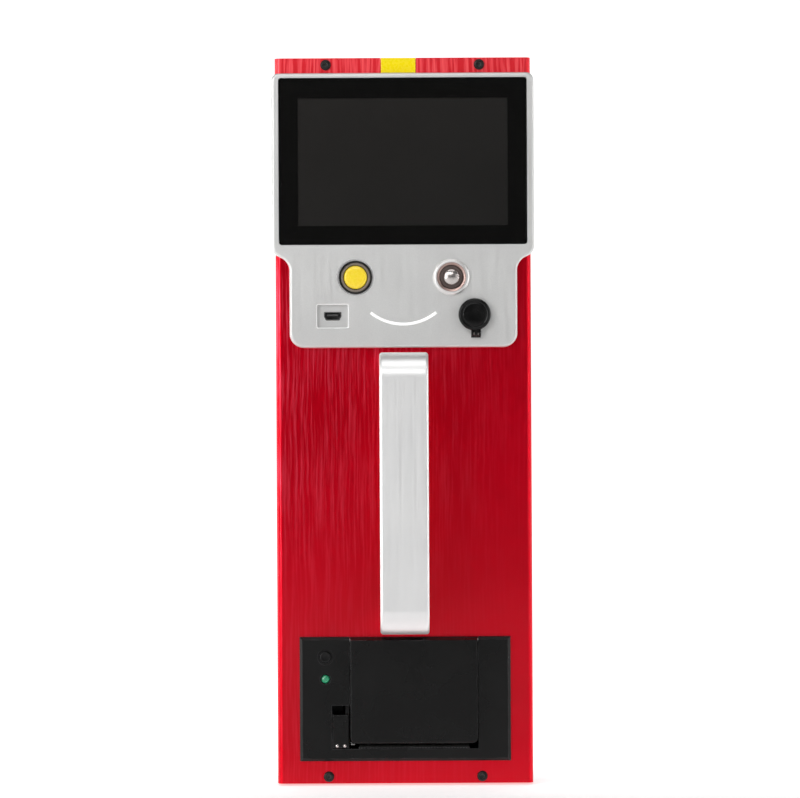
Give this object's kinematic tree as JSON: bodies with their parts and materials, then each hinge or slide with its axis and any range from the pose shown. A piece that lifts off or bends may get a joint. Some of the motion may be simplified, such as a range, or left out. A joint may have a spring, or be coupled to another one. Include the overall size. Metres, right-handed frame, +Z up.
{
  "type": "ticket vending machine",
  "caption": "Compact ticket vending machine: brushed red hinged front door with display, push buttons, cam lock, bow handle and panel printer, on a shallow wall case.",
  "frame": {"origin": "centre of the machine's bounding box at its underside", "axes": "+Z up, +X to the right as a customer sees the front, +Y from the front to the wall"},
  "size_m": [0.1364, 0.114, 0.378],
  "materials": {
    "red_skin": "red anodised, brushed upright",
    "case_paint": "fine textured powder coat",
    "zinc_steel": "zinc plated",
    "mill_aluminium": "mill finish",
    "silver_fascia": "bead blasted, satin",
    "handle_silver": "satin anodised",
    "clear_glass": "polished cover glass",
    "border_black": "black printed border",
    "display_dark": "unlit display",
    "board_green": "printed circuit board",
    "brass_posts": "turned brass",
    "black_screw": "black oxide",
    "yellow_lens": "translucent yellow",
    "white_light": "white light guide",
    "gloss_black": "moulded gloss black",
    "collar_grey": "moulded grey",
    "polished_steel": "polished stainless steel",
    "ring_dark": "dark insulating ring",
    "printer_black": "moulded satin black",
    "steel_blade": "stamped steel",
    "green_lens": "translucent green",
    "motor_can": "drawn steel can",
    "gear_nylon": "natural nylon",
    "roller_rubber": "smooth black rubber",
    "battery_blue": "shrink sleeve",
    "ticket_paper": "thermal paper",
    "core_card": "wound card"
  },
  "bodies": {
    "case": {"case_shell": "case_paint", "case_top_plate": "case_paint", "case_bottom_plate": "case_paint", "case_rivets": "zinc_steel", "battery_pack": "battery_blue", "battery_bracket": "zinc_steel", "power_supply": "mill_aluminium", "cable_grommet": "roller_rubber", "hinge_case_leaf_upper": "zinc_steel", "hinge_case_leaf_lower": "zinc_steel", "hinge_pins": "zinc_steel"},
    "front_door": {"front_skin": "red_skin", "top_rail": "mill_aluminium", "bottom_rail": "mill_aluminium", "status_lens": "yellow_lens", "cover_screws": "black_screw", "fascia": "silver_fascia", "light_arc": "white_light", "cover_glass": "clear_glass", "display_border": "border_black", "lcd_module": "display_dark", "display_bracket": "zinc_steel", "board_spacers": "brass_posts", "main_board": "board_green", "select_button_bezel": "gloss_black", "select_button_collar": "collar_grey", "start_button_bezel": "polished_steel", "panel_nuts": "zinc_steel", "lock_barrel": "gloss_black", "dust_cover_pin": "polished_steel", "usb_shell": "polished_steel", "handle": "handle_silver", "handle_screws": "zinc_steel", "printer_housing": "printer_black", "printer_hinge_pin": "zinc_steel", "printer_motor": "motor_can", "printer_board": "board_green", "print_head": "mill_aluminium", "tear_bar": "steel_blade", "roll_hubs": "gear_nylon", "led_lens": "green_lens", "hinge_door_leaf_upper": "zinc_steel", "hinge_door_leaf_lower": "zinc_steel"},
    "select_button": {"select_button_cap": "yellow_lens"},
    "start_button": {"start_button_cap": "polished_steel", "start_button_ring": "ring_dark"},
    "lock_core": {"lock_plug": "polished_steel", "lock_cam": "zinc_steel", "cam_nut": "zinc_steel"},
    "dust_cover": {"dust_cover": "gloss_black"},
    "feed_button": {"feed_button": "printer_black"},
    "release_lever": {"release_lever": "printer_black", "lever_studs": "polished_steel"},
    "printer_door": {"printer_door": "printer_black"},
    "platen": {"platen_roller": "roller_rubber", "platen_shaft": "zinc_steel"},
    "idler": {"idler_gear": "gear_nylon"},
    "pinion": {"motor_pinion": "gear_nylon"},
    "ticket_roll": {"paper_roll": "ticket_paper", "roll_core": "core_card"}
  },
  "joints": [
    {"name": "front_door", "type": "hinge", "parent": "case", "child": "front_door", "pos_m": [-0.0611, 0.011, 0.19], "axis": [0, 0, 1], "range_deg": [-105, 0]},
    {"name": "select_button", "type": "slide", "parent": "front_door", "child": "select_button", "axis": [0, 1, 0], "range_m": [0, 0.0025], "stiffness_N_per_m": 400, "springref_m": -0.002},
    {"name": "start_button", "type": "slide", "parent": "front_door", "child": "start_button", "axis": [0, 1, 0], "range_m": [0, 0.0016], "stiffness_N_per_m": 900, "springref_m": -0.0015},
    {"name": "lock_turn", "type": "hinge", "parent": "front_door", "child": "lock_core", "pos_m": [0.0369, -0.015, 0.2442], "axis": [0, -1, 0], "range_deg": [0, 90]},
    {"name": "dust_cover", "type": "hinge", "parent": "front_door", "child": "dust_cover", "pos_m": [0.0376, -0.0219, 0.2342], "axis": [1, 0, 0], "range_deg": [0, 150], "stiffness_Nm_per_rad": 0.002, "springref_deg": -22.92},
    {"name": "feed_button", "type": "slide", "parent": "front_door", "child": "feed_button", "axis": [0, 1, 0], "range_m": [0, 0.0008], "stiffness_N_per_m": 800, "springref_m": -0.001},
    {"name": "release_lever", "type": "hinge", "parent": "front_door", "child": "release_lever", "pos_m": [-0.0337, -0.0166, 0.0206], "axis": [1, 0, 0], "range_deg": [0, 25], "stiffness_Nm_per_rad": 0.02, "springref_deg": -11.46},
    {"name": "printer_door", "type": "hinge", "parent": "front_door", "child": "printer_door", "pos_m": [0.00455, -0.0167, 0.0753], "axis": [-1, 0, 0], "range_deg": [0, 80]},
    {"name": "platen_spin", "type": "hinge", "parent": "printer_door", "child": "platen", "pos_m": [0.00455, -0.0085, 0.025], "axis": [1, 0, 0], "continuous": true},
    {"name": "idler_spin", "type": "hinge", "parent": "front_door", "child": "idler", "pos_m": [-0.0274, 0.00282, 0.02912], "axis": [1, 0, 0], "continuous": true},
    {"name": "pinion_spin", "type": "hinge", "parent": "front_door", "child": "pinion", "pos_m": [-0.0274, 0.00941, 0.02127], "axis": [1, 0, 0], "continuous": true},
    {"name": "ticket_roll_spin", "type": "hinge", "parent": "front_door", "child": "ticket_roll", "pos_m": [0.00455, 0.012, 0.046], "axis": [1, 0, 0], "continuous": true}
  ],
  "couplings": [
    {"joint": "idler_spin", "follows": "platen_spin", "ratio": -0.66667},
    {"joint": "pinion_spin", "follows": "platen_spin", "ratio": 1.6}
  ]
}
